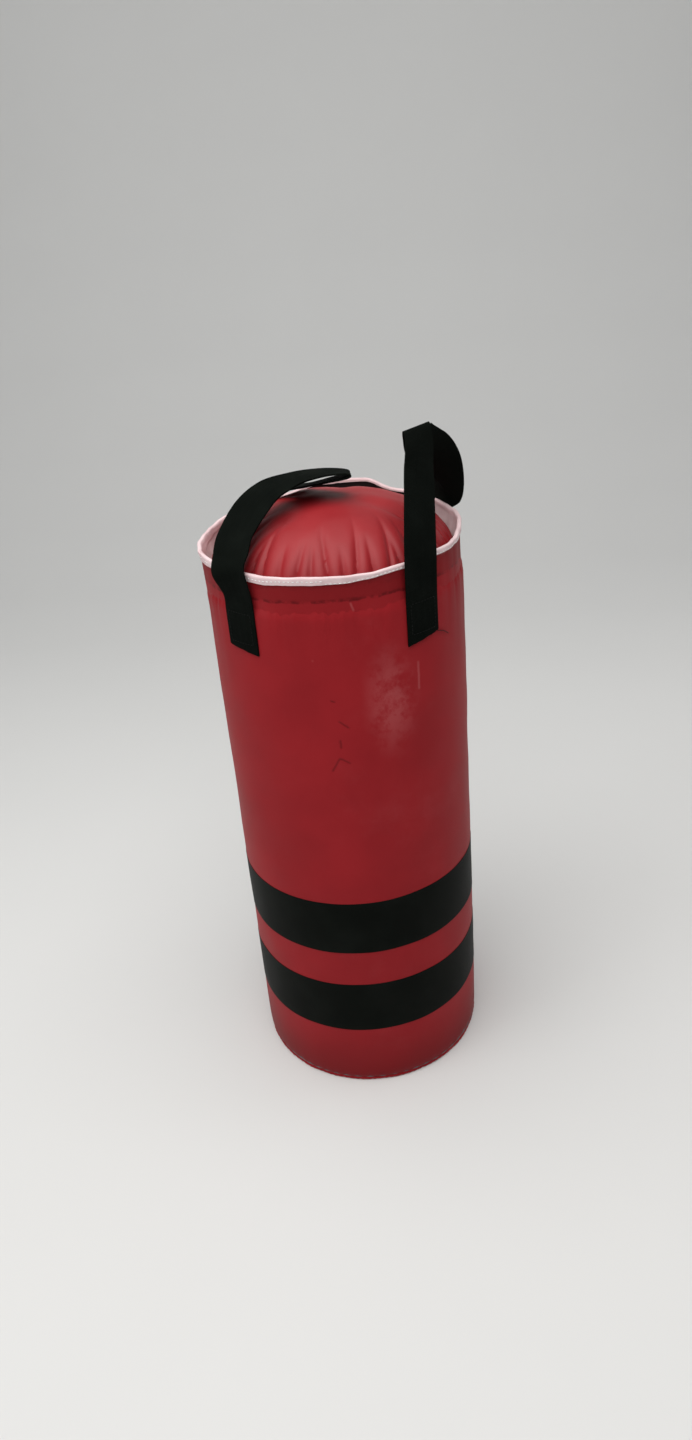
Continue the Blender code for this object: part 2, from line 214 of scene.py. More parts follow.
def gathers(turn, count, layer, wander=1.6):
    """0 in the creases and 1 on the crowns of uneven gathers round the bag."""
    phase = turn * count / 2 + wander * noise.noise(compass(turn, 2.3, layer))
    return abs(math.sin(phase)) ** 0.8


def under_strap(turn):
    """1 where a strap presses the skin flat, 0 clear of the straps."""
    nearest = min(abs((turn - strap + math.pi) % (2 * math.pi) - math.pi) for strap in STRAP_TURNS)
    return 1 - smooth(nearest, STRAP_REACH * 0.75, STRAP_REACH * 1.25)


def skin_inset(height):
    """How far the skin lies inside the full radius, on the pinch and on the collar."""
    if height < SEAM:
        nearness = max(0.0, 1 - (SEAM - height) / PINCH_REACH)
        return PINCH_DEPTH * (1 - math.cos(math.pi * nearness)) / 2
    share = min(1.0, (height - SEAM) / COLLAR)
    return PINCH_DEPTH + (RIM_INSET - PINCH_DEPTH) * math.sin(math.pi * share / 2)


def fullness(turn, height):
    """How far the stuffed skin stands out from, or falls in from, a true cylinder."""
    spot = compass(turn, 1.4, height * 9)
    soft = 0.0007 * noise.noise(spot) + 0.0005 * noise.noise(spot * 2.7)
    near = abs(height - SEAM)
    slack = 1 - 0.75 * under_strap(turn)
    fine = (gathers(turn, SEAM_GATHERS, 3.1) - 0.75) * SEAM_PUCKER * math.exp(-near / 0.009)
    fine -= SEAM_GROOVE * math.exp(-(near / 0.0026) ** 2)
    broad = (gathers(turn, BODY_GATHERS, 7.7) - 0.75) * BODY_FULLNESS * math.exp(-near / 0.026)
    low = max(0.0, height - WELT_TOP)
    base = (gathers(turn, BASE_GATHERS, 11.3) - 0.7) * BASE_PUCKER * math.exp(-low / 0.006)
    tuck = -BASE_TUCK * math.exp(-low / 0.0035)
    return soft + slack * (fine + broad) + base + tuck


def rim_sway(turn):
    """(outwards, upwards): how the collar's free edge wanders from a true ring."""
    slack = 1 - 0.8 * under_strap(turn)
    out = 0.0016 * noise.noise(compass(turn, 3.1, 21.0))
    out += 0.0008 * noise.noise(compass(turn, 8.0, 4.0))
    out += EAR_FLARE * math.exp(-((turn - EAR_TURN) / 0.24) ** 2)
    up = 0.0011 * noise.noise(compass(turn, 3.7, 2.0))
    up += 0.0005 * noise.noise(compass(turn, 9.0, 9.0))
    return out * slack, up


def drape(bm):
    """Moves plain turned work onto the stuffed bag: pinch, gathers, lap and wandering rim."""
    for vert in bm.verts:
        x, y, height = vert.co
        radius = math.hypot(x, y)
        if radius < 1e-6:
            continue
        turn = math.atan2(x, -y)
        share = max(0.0, (height - SEAM) / COLLAR)
        out, up = rim_sway(turn)
        radius += fullness(turn, height) - skin_inset(height) + out * min(1.0, share) ** 1.5
        radius += COLLAR_FLARE * share * (1 - under_strap(turn))
        rearward = -math.cos(turn)
        rise = (REAR_RIM_RISE - FRONT_RIM_DROP) / 2 * rearward ** 2
        rise += (REAR_RIM_RISE + FRONT_RIM_DROP) / 2 * rearward
        rise += CREST_RISE * (1 - smooth(abs(turn % (2 * math.pi) - CREST_TURN), 0.20, 0.47))
        height += share * (rise + up)
        vert.co = (radius * math.sin(turn), -radius * math.cos(turn), height)


def lap(bm):
    """Steps the outside work out over the lapped rear edge of the skin."""
    half = LAP_WIDTH / RADIUS / 2
    for vert in bm.verts:
        off_rear = abs(math.atan2(vert.co.x, vert.co.y))
        reach = Vector((vert.co.x, vert.co.y, 0))
        if reach.length > RADIUS - VINYL / 2:
            vert.co += reach.normalized() * VINYL * (1 - smooth(off_rear, half, half * 1.06))


def turned(outline, steps=FACETS):
    """Work turned about the bag's axis from a closed outline of (radius, height) points."""
    bm = bmesh.new()
    corners = [bm.verts.new((0, -radius, height)) for radius, height in outline]
    edges = [bm.edges.new(pair) for pair in zip(corners, corners[1:] + corners[:1])]
    bmesh.ops.spin(bm, geom=corners + edges, axis=(0, 0, 1), cent=(0, 0, 0),
                   angle=2 * math.pi, steps=steps, use_merge=True)
    bmesh.ops.remove_doubles(bm, verts=bm.verts[:], dist=1e-6)
    bmesh.ops.recalc_face_normals(bm, faces=bm.faces[:])
    if bm.calc_volume(signed=True) < 0:
        bmesh.ops.reverse_faces(bm, faces=bm.faces[:])
    return bm


def piece(bm, name, finish, slot, body, *nodes, sharp=40):
    """Makes the mesh a finished piece that rides on a body and stands for its CAD nodes."""
    mesh = bpy.data.meshes.new(name)
    bm.to_mesh(mesh)
    bm.free()
    mesh.materials.append(finish.material)
    mesh.shade_smooth()
    mesh.set_sharp_from_angle(angle=math.radians(sharp))
    made = bpy.data.objects.new(name, mesh)
    bpy.context.scene.collection.objects.link(made)
    if body:
        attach(made, body)
    if nodes:
        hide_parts(*nodes)
    return made


def steps_between(low, high, spacing):
    count = max(1, round((high - low) / spacing))
    return [low + (high - low) * step / count for step in range(count + 1)]


RED = (0.305, 0.0140, 0.0185)
RED_DEEP = (0.262, 0.0118, 0.0158)
RED_CHALKY = (0.45, 0.105, 0.110)
# The crease colour is painted shade in the seam's puckers, and also the real colour of the dark
# splits in the vinyl.
RED_SEAM_SHADE_AND_SPLIT = (0.070, 0.0040, 0.0050)
# The foot colour is painted shade, darkening the skin towards the floor.
RED_FOOT_SHADE = (0.180, 0.0080, 0.0105)
# The collar colour is painted shade on the inward-leaning strip above the seam.
RED_COLLAR_SHADE = (0.165, 0.0080, 0.0100)
RUB_MIDDLE = (0.0514, -0.1194, 0.4854)
RUB_SPREAD = (0.028, 0.05, 0.060)
FOOT_SHADE_TOP = 0.090
GRAIN = 1500.0
MARK_HALF_WIDTH = 0.0017
MARK_END = 0.0015
# Each mark runs from one (across, height) to another on the front; True is a pale scratch and
# False a dark split in the vinyl.
SKIN_MARKS = (
    ((-0.0060, 0.4930), (-0.0018, 0.4915), False), ((0.0002, 0.4710), (0.0093, 0.4630), False),
    ((0.0000, 0.4510), (0.0002, 0.4420), False), ((-0.0102, 0.4170), (-0.0020, 0.4310), False),
    ((-0.0020, 0.4310), (0.0079, 0.4250), False), ((-0.0190, 0.5350), (-0.0186, 0.5342), True),
    ((0.0782, 0.5170), (0.0780, 0.4880), True), ((0.0202, 0.5880), (0.0225, 0.5800), True),
)


def vinyl_finish(name, worn=False, gloss=0.08):
    """Red vinyl: a fine pressed grain, slow changes of tone, and on the skin its scuffs
    and painted shade at the seam, the collar and the foot.
    """
    made = Finish(name, 0.48, gloss=gloss)
    cloud = made.place.noise(14.0, detail=4.0)
    tone = cloud.ramp(0.30, 0.70).mix(RED_DEEP, RED)
    shine = cloud * 0.12 + 0.42
    grain = made.place.add("TexVoronoi", {"feature": "F1"}, {"Vector": made.place, "Scale": GRAIN})
    height = grain * 0.55 + made.place.noise(420.0, detail=2.0) * 0.45
    if worn:
        # Rubbed patch on the front, right of the middle, and a haze of small scuffs round it.
        rub = made.place.add("VectorMath", {"operation": "SUBTRACT"},
                             {0: made.place, 1: RUB_MIDDLE})
        rub = rub.scaled(*(1 / spread for spread in RUB_SPREAD))
        rub = rub.add("VectorMath", {"operation": "LENGTH"}, {0: rub}, out=1)
        patchy = made.place.noise(48.0, detail=7.0, roughness=0.68)
        rubbed = rub.ramp(0.20, 1.20, 1.0, 0.0) * patchy.ramp(0.36, 0.60)
        haze = made.place.noise(9.0, detail=6.0, roughness=0.7).ramp(0.52, 0.78) * 0.22
        tone = (rubbed * 0.44 + haze * patchy).mix(tone, RED_CHALKY)
        shine = shine + rubbed * 0.12
        # Painted shade in the puckers of the seam, and the collar and the foot of the skin painted
        # darker as shade.
        upward = made.place.add("SeparateXYZ", {}, {"Vector": made.place}, out=2)
        waver = (made.place.noise(88.0, detail=2.0) - 0.5) * 0.0046
        # A broken line of painted shade along the seam, under the collar's overhang.
        seam_shade = ((upward + waver - SEAM).math("ABSOLUTE")).ramp(0.0006, 0.0024, 1.0, 0.0)
        broken = made.place.noise(150.0, detail=2.0).ramp(0.36, 0.60)
        # The skin is painted darker towards its foot, as shade.
        foot = upward.ramp(0.0, FOOT_SHADE_TOP, 0.95, 0.0)
        tone = (seam_shade * broken * 0.75).mix(tone, RED_SEAM_SHADE_AND_SPLIT)
        tone = foot.mix(tone, RED_FOOT_SHADE)
        # The collar strip above the seam is painted darker, as shade.
        collar = (upward + waver * 0.6).ramp(SEAM - 0.0012, SEAM + 0.0016)
        tone = (collar * 0.55).mix(tone, RED_COLLAR_SHADE)
        # Fine scratches and splits on the front.
        across = made.place.add("SeparateXYZ", {}, {"Vector": made.place})
        rearward = made.place.add("SeparateXYZ", {}, {"Vector": made.place}, out=1)
        facing = rearward.ramp(-0.06, -0.09)
        for (ax, az), (bx, bz), pale in SKIN_MARKS:
            length = math.hypot(bx - ax, bz - az)
            ux, uz = (bx - ax) / length, (bz - az) / length
            along = (across - ax) * ux + (upward - az) * uz
            beside = ((across - ax) * -uz + (upward - az) * ux + waver * 0.35).math("ABSOLUTE")
            line = beside.ramp(0.0002, MARK_HALF_WIDTH, 1.0, 0.0) * facing
            line = line * along.ramp(-MARK_END, MARK_END)
            line = line * along.ramp(length - MARK_END, length + MARK_END, 1.0, 0.0)
            tone = (line * (0.40 if pale else 0.45)).mix(tone, RED_CHALKY if pale else RED_SEAM_SHADE_AND_SPLIT)
            if not pale:
                height = height - line * 3.0
    made.set(Base_Color=tone, Roughness=shine)
    made.bump(height, 0.00012)
    return made


skin_red = vinyl_finish("skin_vinyl", worn=True)
outside = [(RADIUS, z) for z in steps_between(WELT_TOP, 0.030, 0.002)[:-1]
           + steps_between(0.030, 0.540, 0.008)[:-1]
           + steps_between(0.540, SEAM - 0.006, 0.003)[:-1]
           + steps_between(SEAM - 0.006, RIM - 0.0011, 0.0012)]
inside = [(RADIUS - VINYL, z) for z in steps_between(RIM - 0.0011, 0.540, 0.003)[:-1]
          + steps_between(0.540, 0.030, 0.015)[:-1] + steps_between(0.030, WELT_TOP, 0.003)]
bm = turned(outside + inside)
lap(bm)
drape(bm)
skin = piece(bm, "skin", skin_red, "red_vinyl", "bag", "skin_panel")

# The two bands: black film bonded to the skin, a little raised, with clean cut edges.
BAND_FILM = 0.0004
BAND_WIDTH = 0.0658
BANDS = (("lower_band", 0.0800), ("upper_band", 0.1905))
FILM_SEAT = 0.00008
FILM_BLACK = (0.0022, 0.0032, 0.0022)
FILM_WORN = (0.0050, 0.0064, 0.0050)

film = Finish("band_film", 0.50, gloss=0.035)
cloud = film.place.noise(22.0, detail=5.0)
film.set(Base_Color=cloud.ramp(0.35, 0.75).mix(FILM_BLACK, FILM_WORN),
         Roughness=cloud * 0.12 + 0.44)
grain = film.place.add("TexVoronoi", {"feature": "F1"}, {"Vector": film.place, "Scale": GRAIN})
film.bump(grain * 0.6 + film.place.noise(420.0, detail=2.0) * 0.4, 0.00009)
for name, low in BANDS:
    outer = RADIUS + BAND_FILM
    heights = steps_between(low + BAND_FILM / 2, low + BAND_WIDTH - BAND_FILM / 2, 0.008)
    outline = [(RADIUS + FILM_SEAT, low)] + [(outer, z) for z in heights]
    outline += [(RADIUS + FILM_SEAT, low + BAND_WIDTH)]
    outline += [(RADIUS + FILM_SEAT, z) for z in reversed(heights[1:-1])]
    bm = turned(outline)
    lap(bm)
    drape(bm)
    piece(bm, name + "_film", film, "black_band", "bag", name)

# The base: a round panel that the bag stands on, and the welt that closes its edge, a strip of
# the same vinyl rolled over the seam and puckered by it.
WELT_RADIUS = 0.0022
WELT_INSET = 0.0012
PANEL = 0.0015
WELT_SIDES = 12
WELT_GATHERS = 118

base_red = vinyl_finish("base_vinyl")
middle = RADIUS - WELT_INSET - WELT_RADIUS
bm = turned([(middle + WELT_RADIUS * math.cos(2 * math.pi * side / WELT_SIDES),
              WELT_RADIUS * (1 + math.sin(2 * math.pi * side / WELT_SIDES)))
             for side in range(WELT_SIDES)])
for vert in bm.verts:
    turn = math.atan2(vert.co.x, -vert.co.y)
    reach = Vector((vert.co.x, vert.co.y, 0)).normalized()
    pucker = (gathers(turn, WELT_GATHERS, 5.0) - 0.7) * 0.0007
    pucker += 0.0007 * noise.noise(compass(turn, 6.0, 1.0))
    vert.co += reach * pucker
    vert.co.z += vert.co.z / WELT_RADIUS * 0.0005 * noise.noise(compass(turn, 9.0, 3.0))
piece(bm, "welt", base_red, "red_vinyl", "bag", "base_welt")

edge = middle - WELT_RADIUS - 0.0003
bm = bmesh.new()
bmesh.ops.create_circle(bm, cap_ends=True, segments=96, radius=edge)
bmesh.ops.inset_region(bm, faces=bm.faces[:], thickness=0.012)
bmesh.ops.inset_region(bm, faces=[max(bm.faces, key=lambda face: face.calc_area())], thickness=0.03)
walls = bmesh.ops.extrude_face_region(bm, geom=bm.faces[:])["geom"]
upper = [part for part in walls if isinstance(part, bmesh.types.BMVert)]
bmesh.ops.translate(bm, verts=upper, vec=(0, 0, PANEL))
bmesh.ops.recalc_face_normals(bm, faces=bm.faces[:])
piece(bm, "underside", base_red, "red_vinyl", "bag", "base_panel")

# The cap: a round of the same vinyl, larger than the opening and gathered into it, so that the
# foam plug under it fills it to a dome and its edge falls into uneven folds and soft dents.
CAP_RADIUS = RADIUS - VINYL - PINCH_DEPTH - 0.0008 - 0.0006
CAP_RISE = 0.0650
CAP_SKIRT = 0.012
CAP_FACETS = 432
CAP_RINGS = 46
FOLD_DEPTH = 0.0042
FOLD_WIDTH = 0.0034
PLUG_GAP = 0.009
PLUG_FOOT = 0.5363
# Each fold on the front: its place round the rim in degrees, its reach towards the middle as a
# share of the radius, and how far aside it would have turned by the middle, in degrees.
FRONT_FOLDS = ((-62, 0.30, 0), (-54, 0.45, 8), (-46, 0.30, 0), (-38, 0.26, 5), (-31, 0.45, -10),
               (-22, 0.22, 0), (-14, 0.26, 10), (-7, 0.24, 0), (1.5, 0.38, -12), (8, 0.20, 0),
               (13, 0.46, 18), (21, 0.26, 10), (29, 0.46, 30), (35, 0.24, 10), (42, 0.36, 20),
               (50, 0.30, 0))
# Each soft dent: from one (across, rearward) to another, its half width and its depth.
CAP_DENTS = (((-0.088, -0.072), (-0.040, -0.050), 0.010, 0.0022),
             ((0.086, -0.036), (0.040, -0.022), 0.012, 0.0022),
             ((-0.070, 0.050), (-0.030, 0.020), 0.014, 0.0022),
             ((0.020, 0.095), (0.010, 0.045), 0.013, 0.0020))

folds = [(math.radians(turn), 1.0, reach, math.radians(lean)) for turn, reach, lean in FRONT_FOLDS]
shuffle = random.Random(5)
turn = 57.0
while turn < 293.0:
    folds.append((math.radians(turn), shuffle.uniform(0.55, 1.0), shuffle.uniform(0.18, 0.55),
                  math.radians(shuffle.uniform(-20, 20))))
    turn += shuffle.uniform(5.5, 9.5)


def cap_sink(x, y, share):
    """How deep the cap's folds and dents are at a place, share being its part of the radius."""
    turn = math.atan2(x, -y)
    sunk = 0.0
    for place, strength, reach, lean in folds:
        here = place + lean * (1 - share)
        apart = abs((turn - here + math.pi) % (2 * math.pi) - math.pi) * CAP_RADIUS * share
        if apart > 0.03:
            continue
        fade = smooth(share, 1 - reach * 1.15, 1.0) ** 0.8
        sunk += strength * fade * math.exp(-(apart / FOLD_WIDTH) ** 1.2)
    sunk *= FOLD_DEPTH
    for (ax, ay), (bx, by), width, depth in CAP_DENTS:
        along = ((x - ax) * (bx - ax) + (y - ay) * (by - ay)) / ((bx - ax) ** 2 + (by - ay) ** 2)
        along = min(1.0, max(0.0, along))
        apart = math.hypot(x - ax - along * (bx - ax), y - ay - along * (by - ay))
        sunk += depth * math.exp(-(apart / width) ** 2)
    return sunk


profile = [(CAP_RADIUS, SEAM - CAP_SKIRT), (CAP_RADIUS, SEAM - CAP_SKIRT / 2)]
for ring in range(CAP_RINGS):
    slope = math.pi / 2 * ring / CAP_RINGS
    profile.append((CAP_RADIUS * math.cos(slope), SEAM + CAP_RISE * math.sin(slope)))
bm = bmesh.new()
corners = [bm.verts.new((0, -radius, height)) for radius, height in profile]
corners.append(bm.verts.new((0, 0, SEAM + CAP_RISE)))
edges = [bm.edges.new(pair) for pair in zip(corners, corners[1:])]
bmesh.ops.spin(bm, geom=corners + edges, axis=(0, 0, 1), cent=(0, 0, 0),
               angle=2 * math.pi, steps=CAP_FACETS, use_merge=True)
bmesh.ops.remove_doubles(bm, verts=bm.verts[:], dist=1e-6)
bmesh.ops.recalc_face_normals(bm, faces=bm.faces[:])
if sum(face.normal.z for face in bm.faces) < 0:
    bmesh.ops.reverse_faces(bm, faces=bm.faces[:])
bm.normal_update()
for vert in bm.verts:
    x, y, height = vert.co
    share = math.hypot(x, y) / CAP_RADIUS
    if height < SEAM - 1e-6:
        continue
    soft = 0.0012 * noise.noise(vert.co * 22) + 0.0006 * noise.noise(vert.co * 48)
    crest = smooth(share, 0.25, 0.8)
    lift = soft * (1 - share ** 6) + 0.0010 * crest * (1 - share ** 8) - cap_sink(x, y, share)
    outward = Vector((x / CAP_RADIUS ** 2, y / CAP_RADIUS ** 2, (height - SEAM) / CAP_RISE ** 2))
    vert.co += outward.normalized() * lift
plug = bmesh.new()
bmesh.ops.create_uvsphere(plug, u_segments=96, v_segments=48, radius=1)
for vert in plug.verts:
    x, y, height = vert.co
    reach = CAP_RADIUS - PLUG_GAP
    rise = CAP_RISE - 0.0105 if height > 0 else SEAM - PLUG_FOOT
    vert.co = (x * reach, y * reach, SEAM - 0.002 + rise * height)
piece(plug, "cap_foam", foam, "grey_foam", "bag", "top_foam")
cap_red = vinyl_finish("cap_vinyl", gloss=0.30)
cap = piece(bm, "cap", cap_red, "red_vinyl", "bag", "top_cap", sharp=60)
thick = cap.modifiers.new("thickness", "SOLIDIFY")
thick.thickness = VINYL
thick.offset = -1

# The collar's trim: a white lining inside it, and a white woven tape folded over both raw edges
# and sewn down, broader in some places than in others.
FACING = 0.0008
TAPE = 0.0008
TAPE_GAP = 0.0003
TAPE_DROP = 0.0078
EAR_DROP = 0.0050
# The white cloth colours of the lining and the tape carry a pink tint, a painted reflection of the
# red vinyl.
LINING_PALE_WITH_RED_REFLECTION = (0.80, 0.66, 0.66)
LINING_SHADE_WITH_RED_REFLECTION = (0.62, 0.48, 0.49)
# The lining's dark colour is painted shade in the deep gap between the cap and the rear collar.
LINING_PAINTED_SHADE = (0.010, 0.006, 0.006)
REAR_SHADE_FROM_TO = (0.060, 0.095)
TAPE_WHITE_WITH_RED_REFLECTION = (0.80, 0.63, 0.64)
TAPE_SHADE_WITH_RED_REFLECTION = (0.67, 0.49, 0.50)


def cloth_finish(name, pale, shade, threads, rear_shade=None):
    """White cloth: a fine plain weave of that many threads to the metre, a little soiled, and
    going over to a painted-shade colour, if one is given, towards the rear."""
    made = Finish(name, 0.85)
    soil = made.place.noise(30.0, detail=4.0)
    weave = made.place.add("TexWave", {"wave_type": "BANDS", "bands_direction": "Z"},
                           {"Vector": made.place, "Scale": threads / 20})
    cross = made.place.add("TexVoronoi", {}, {"Vector": made.place, "Scale": threads})
    tone = soil.ramp(0.3, 0.7).mix(pale, shade)
    if rear_shade:
        # Painted shade: the cloth darkens towards the rear.
        rearward = made.place.add("SeparateXYZ", {}, {"Vector": made.place}, out=1)
        tone = rearward.ramp(*REAR_SHADE_FROM_TO).mix(tone, rear_shade)
    made.set(Base_Color=tone)
    made.bump(weave * 0.5 + cross * 0.5, 0.00012)
    return made


lining_white = cloth_finish("lining_cloth", LINING_PALE_WITH_RED_REFLECTION, LINING_SHADE_WITH_RED_REFLECTION, 1100.0, LINING_PAINTED_SHADE)
tape_white = cloth_finish("tape_cloth", TAPE_WHITE_WITH_RED_REFLECTION, TAPE_SHADE_WITH_RED_REFLECTION, 1400.0)
under = RADIUS - VINYL - TAPE_GAP
top = RIM - TAPE - TAPE_GAP
heights = steps_between(SEAM + 0.0003, top, 0.002)
bm = turned([(under, z) for z in heights] + [(under - FACING, z) for z in reversed(heights)])
drape(bm)
piece(bm, "lining", lining_white, "white_lining", "bag", "collar_lining")


def tape_drop(turn):
    """How far the tape reaches down from the rim, on either side."""
    broad = 0.0095 - 0.0035 * smooth(turn, math.radians(2), math.radians(24))
    broad -= 0.0020 * smooth(-turn, math.radians(22), math.radians(60))
    broad += EAR_DROP * math.exp(-((turn - EAR_TURN - math.radians(2)) / 0.22) ** 2)
    return broad + 0.0011 * noise.noise(compass(turn, 5.0, 30.0))


outside = RADIUS + TAPE_GAP + TAPE
inside = under - FACING - TAPE_GAP - TAPE
crown = [(outside - TAPE / 2 + (inside - outside + TAPE) / 2 * (1 - math.cos(math.pi * step / 6)),
          RIM - TAPE + TAPE * math.sin(math.pi * step / 6)) for step in range(7)]
outline = [(outside, RIM - down * 0.0010 - TAPE) for down in (7, 5, 3, 1)] + crown
outline += [(inside, RIM - down * 0.0010 - TAPE) for down in (1, 3, 5, 7)]
outline += [(inside + TAPE, RIM - down * 0.0010 - TAPE) for down in (7, 4, 1)]
outline += [(outside - TAPE, RIM - down * 0.0010 - TAPE) for down in (1, 4, 7)]
bm = turned(outline)
lap(bm)
for vert in bm.verts:
    turn = math.atan2(vert.co.x, -vert.co.y)
    below = max(0.0, RIM - TAPE - vert.co.z)
    drop = tape_drop(turn)
    if math.hypot(vert.co.x, vert.co.y) < RADIUS - VINYL:
        drop *= 1 - 0.72 * smooth(-math.cos(turn), 0.1, 0.6)
    vert.co.z -= below * (drop / TAPE_DROP - 1)
drape(bm)
piece(bm, "rim_tape", tape_white, "white_tape", "bag", "rim_binding")

# The sewing: dark red thread through cap, skin and collar at the seam and down the rear lap,
# and white thread that holds the tape. Each stitch is one small grain.
STITCH = 0.0052
TAPE_STITCH = 0.0042
LAP_STITCH = 0.0055
LAP_STITCHES = 104
STITCH_GIRTH = 0.00048
THREAD_RED = (0.050, 0.0045, 0.0055)
THREAD_WHITE = (0.66, 0.65, 0.63)
THREAD_BLACK = (0.0020, 0.0025, 0.0020)


def thread_finish(name, colour):
    made = Finish(name, 0.65)
    twist = made.place.add("TexWave", {"wave_type": "BANDS", "bands_direction": "DIAGONAL"},
                           {"Vector": made.place, "Scale": 420.0})
    pale = tuple(min(1.0, part * 1.7) for part in colour)
    made.set(Base_Color=twist.mix(colour, pale))
    made.bump(twist, 0.00012)
    return made


def sew(name, finish, slot, places, *nodes, body="bag"):
    """One piece of many stitches; a place is (middle, direction, length)."""
    bm = bmesh.new()
    for middle, direction, length in places:
        turn = Vector(direction).to_track_quat("X", "Z").to_matrix().to_4x4()
        shape = Matrix.Diagonal((length / 2, STITCH_GIRTH, STITCH_GIRTH, 1))
        bmesh.ops.create_icosphere(bm, subdivisions=1, radius=1,
                                   matrix=Matrix.Translation(middle) @ turn @ shape)
    return piece(bm, name, finish, slot, body, *nodes, sharp=180)


def on_skin(turn, height, proud):
    """The place on the draped skin, that far proud of it."""
    bm = bmesh.new()
    reach = RADIUS + proud
    vert = bm.verts.new((reach * math.sin(turn), -reach * math.cos(turn), height))
    drape(bm)
    found = vert.co.copy()
    bm.free()
    return found


red_thread = thread_finish("red_thread", THREAD_RED)
white_thread = thread_finish("white_thread", THREAD_WHITE)
black_thread = thread_finish("black_thread", THREAD_BLACK)
count = round(2 * math.pi * RADIUS / STITCH)
seam_places = []
for number in range(count):
    turn = 2 * math.pi * number / count
    along = (math.cos(turn), math.sin(turn), 0.04 * math.sin(number * 2.4))
    seam_places.append((on_skin(turn, SEAM + 0.0002, 0.0001), along, STITCH * 0.72))
sew("seam_stitches", red_thread, "red_thread", seam_places, "cap_seam_thread")
tape_places = []
count = round(2 * math.pi * RADIUS / TAPE_STITCH)
for number in range(count):
    turn = 2 * math.pi * number / count
    along = (math.cos(turn), math.sin(turn), 0)
    spot = on_skin(turn, RIM - tape_drop(turn) + 0.0012, TAPE_GAP + TAPE)
    tape_places.append((spot, along, 0.0030))
sew("tape_stitches", white_thread, "white_tape", tape_places)
lap_places = []
lap_turn = math.pi - LAP_WIDTH / RADIUS / 2 * 0.8
for number in range(LAP_STITCHES):
    height = 0.012 + LAP_STITCH * number
    spot = on_skin(lap_turn, height, VINYL + 0.0001)
    lap_places.append((spot, (0, 0, 1), STITCH * 0.72))
sew("lap_stitches", red_thread, "red_thread", lap_places)

# The straps: two lengths of black polypropylene webbing, each sewn flat to the skin at both ends
# with a box of stitches and left as one carrying loop above the rim. The right loop stands; the
# left one has half a turn in it and lies folded on the cap. Each bends where it leaves the rim.
WEBBING_WIDTH = 0.038
WEBBING = 0.0016
TAIL_TOP = 0.0026
TAIL_FOOT = RIM - 0.080
CREST = SEAM + CAP_RISE
HINGE_HEIGHT = RIM + TAIL_TOP
STRAP_RADIUS = RADIUS + 0.0003 + WEBBING / 2
STRAP_RISE = 0.0104
ROUTE_STEPS = 9
# The webbing's width is square to its run where that is straight, and keeps its stated direction
# where it folds: both as chord over length, for that reach to each side.
STRAIGHT = 0.95
FOLDED = 0.70
FOLD_REACH = 0.024
ACROSS = 14
FRONT_END_SLANT = 0.006
REAR_END_SLANT = 0.002
BOX_INSET = 0.0045
BOX_HEIGHT = 0.030
BOX_STITCH = 0.0036
# Along each loop: how far to its own side and to the rear as shares of the bag's radius, the
# height over the line that it swings about as a share of the cap's crest over it, and the
# heading and tilt of its width in degrees.
STRAP_RUNS = (
    ("right", 1, RIGHT_REAR_TURN, -61, (
        (0.656, -0.766, 0.00, 40.6, 0), (0.663, -0.700, 0.72, 45, 0),
        (0.673, -0.590, 1.42, 49, 0), (0.684, -0.460, 2.12, 50, -2),
        (0.694, -0.395, 2.62, 50, -2), (0.692, -0.360, 2.90, 50, 1),
        (0.684, -0.335, 3.06, 50, 2), (0.678, -0.308, 3.06, 50, 3),
        (0.680, -0.278, 2.92, 49, 8), (0.700, -0.210, 2.60, 44, 18),
        (0.738, -0.112, 2.38, 37, 21), (0.786, -0.005, 2.18, 22, 18),
        (0.834, 0.092, 1.90, 6, 13), (0.874, 0.185, 1.55, -10, 7),
        (0.902, 0.275, 1.12, -25, 3), (0.920, 0.345, 0.70, -38, 0),
        (0.922, 0.405, 0.34, -50, 0))),
    ("left", -1, LEFT_REAR_TURN, 141, (
        (0.695, -0.774, 0.00, 30, -10), (0.672, -0.690, 0.38, 26, -4),
        (0.640, -0.575, 0.76, 26, 0), (0.530, -0.410, 1.27, 36, 11),
        (0.400, -0.285, 1.60, 62, 14), (0.220, -0.180, 1.74, 86, 6),
        (0.030, -0.135, 1.79, 86, -1), (-0.120, -0.125, 1.77, 86, -5),
        (-0.185, -0.123, 1.70, 86, -6), (-0.150, -0.120, 1.61, 88, -6),
        (0.030, -0.060, 1.44, 104, -5), (0.240, 0.160, 1.06, 126, -3),
        (0.440, 0.480, 0.62, 136, 0), (0.600, 0.690, 0.24, 140, 0))),
)
WEB_BLACK = (0.0016, 0.0024, 0.0018)
WEB_SHEEN = (0.0072, 0.0092, 0.0075)
RIB = 0.0014
CHEVRON = 0.0076


def hinge_line(y):
    return HINGE_HEIGHT + STRAP_RISE * y / RADIUS


